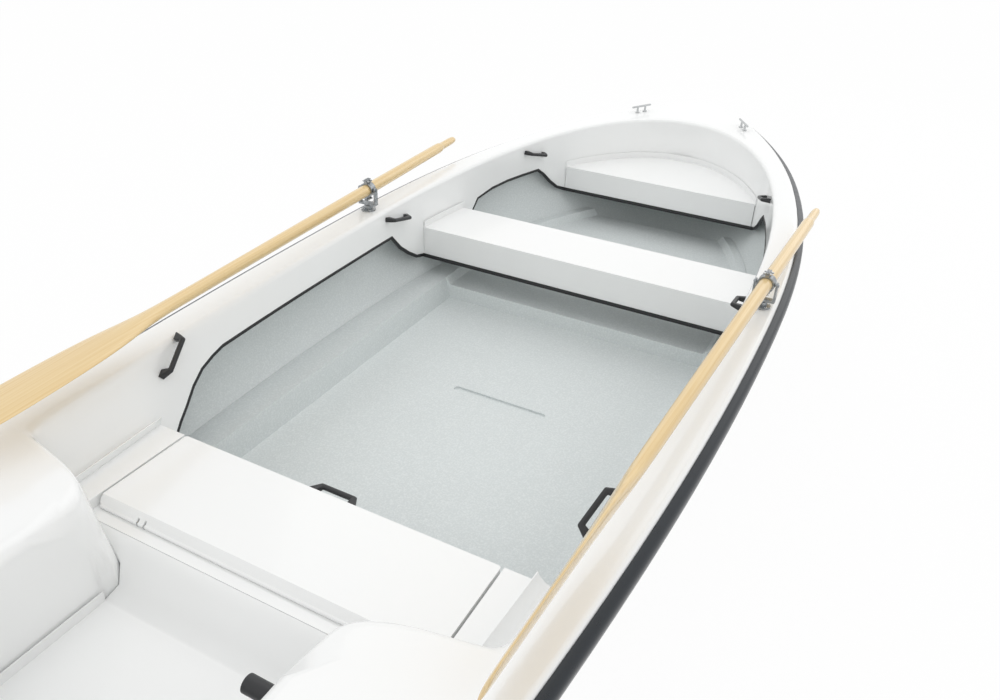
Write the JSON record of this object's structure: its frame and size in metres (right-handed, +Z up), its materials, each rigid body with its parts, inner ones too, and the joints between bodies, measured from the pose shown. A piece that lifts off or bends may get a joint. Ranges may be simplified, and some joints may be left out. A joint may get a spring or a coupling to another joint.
{
  "type": "glass fibre rowing boat",
  "caption": "Open white glass fibre rowing boat with a grey cockpit floor, thwart, bow and aft seats, a lift-up locker lid, an aft well, and oars stowed in swivelling oarlocks.",
  "frame": {"origin": "on the floor under the keel, midway along and across the boat", "axes": "+X to the bow, +Y to port, +Z up"},
  "size_m": [4.211, 1.6318, 0.7817],
  "materials": {
    "gelcoat_white": "glossy white gelcoat on glass fibre",
    "flowcoat_grey": "light grey textured flow coat",
    "strake_rubber": "smooth dark navy rubber",
    "trim_rubber": "matt black rubber edge trim",
    "black_plastic": "moulded black nylon",
    "stainless": "polished stainless steel",
    "galvanised": "zinc plated steel",
    "pine": "varnished pine"
  },
  "bodies": {
    "boat": {"hull_shell": "gelcoat_white", "floor_pan": "flowcoat_grey", "keel": "gelcoat_white", "bilge_runners": "gelcoat_white", "gunwale_deck": "gelcoat_white", "transom_cap": "gelcoat_white", "bow_seat": "gelcoat_white", "middle_thwart": "gelcoat_white", "aft_seat": "gelcoat_white", "aft_well": "gelcoat_white", "lid_hinges": "stainless", "rubbing_strake": "strake_rubber", "cockpit_trim": "trim_rubber", "fore_trim": "trim_rubber", "handle_port_bow": "black_plastic", "handle_port_mid": "black_plastic", "handle_port_aft": "black_plastic", "handle_starboard_bow": "black_plastic", "handle_starboard_mid": "black_plastic", "handle_starboard_aft": "black_plastic", "bow_cleats": "stainless", "well_spigot": "black_plastic", "bow_eye": "stainless", "drain_plug": "black_plastic", "socket_port": "galvanised", "socket_starboard": "galvanised"},
    "locker_lid": {"lid": "gelcoat_white", "lid_handle": "black_plastic"},
    "port_fork": {"oarlock_port": "galvanised"},
    "starboard_fork": {"oarlock_starboard": "galvanised"},
    "port_oar": {"clamp_port": "galvanised", "oar_port": "pine"},
    "starboard_oar": {"clamp_starboard": "galvanised", "oar_starboard": "pine"}
  },
  "joints": [
    {"name": "lid_hinge", "type": "hinge", "parent": "boat", "child": "locker_lid", "pos_m": [-1.445, 0, 0.4375], "axis": [0, -1, 0], "range_deg": [0, 80]},
    {"name": "port_oarlock_swivel", "type": "hinge", "parent": "boat", "child": "port_fork", "pos_m": [0.0545, 0.74192, 0.6557], "axis": [0, 0, -1], "range_deg": [-8, 130]},
    {"name": "starboard_oarlock_swivel", "type": "hinge", "parent": "boat", "child": "starboard_fork", "pos_m": [0.0545, -0.74192, 0.6557], "axis": [0, 0, 1], "range_deg": [-8, 130]},
    {"name": "port_oar_tilt", "type": "hinge", "parent": "port_fork", "child": "port_oar", "pos_m": [0.0545, 0.74192, 0.7157], "axis": [0.0698, -0.9976, 0], "range_deg": [-5, 2]},
    {"name": "starboard_oar_tilt", "type": "hinge", "parent": "starboard_fork", "child": "starboard_oar", "pos_m": [0.0545, -0.74192, 0.7157], "axis": [-0.0366, -0.9993, 0], "range_deg": [-5, 0]}
  ]
}
